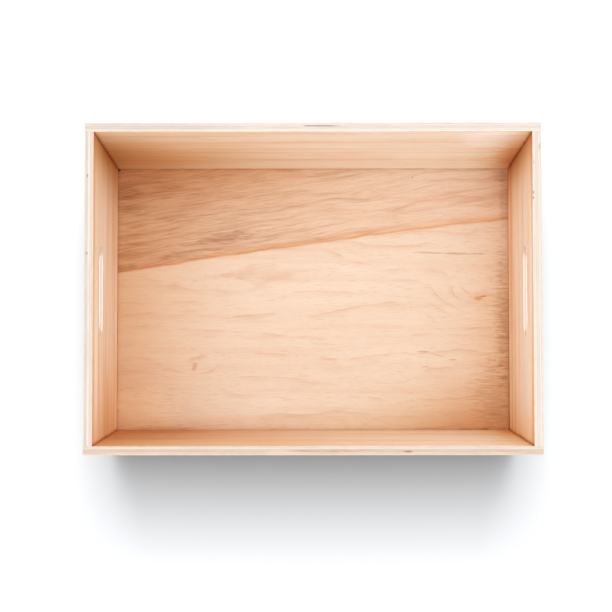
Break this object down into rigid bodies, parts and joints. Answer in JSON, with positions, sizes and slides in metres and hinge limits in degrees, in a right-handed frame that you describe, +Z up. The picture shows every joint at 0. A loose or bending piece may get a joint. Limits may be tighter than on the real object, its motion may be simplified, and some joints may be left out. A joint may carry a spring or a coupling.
{
  "type": "wooden box",
  "caption": "Shallow open-topped display box in light plywood, with long walls that lean outward, upright end walls with rounded hand slots, and a floor set inside.",
  "frame": {"origin": "middle of the underside, on the surface that the box stands on", "axes": "+X along the length towards the right end wall, +Y towards the back wall, +Z up out of the open top"},
  "size_m": [0.32, 0.2326, 0.1462],
  "materials": {
    "plywood": "bare, finely sanded",
    "brads": "plain drawn wire"
  },
  "bodies": {
    "root": {"bottom_panel": "plywood", "back_panel": "plywood", "front_panel": "plywood", "left_end_panel": "plywood", "right_end_panel": "plywood", "back_left_corner_brads": "brads", "back_right_corner_brads": "brads", "front_left_corner_brads": "brads", "front_right_corner_brads": "brads", "back_floor_brads": "brads", "front_floor_brads": "brads", "left_floor_brads": "brads", "right_floor_brads": "brads"}
  },
  "joints": []
}
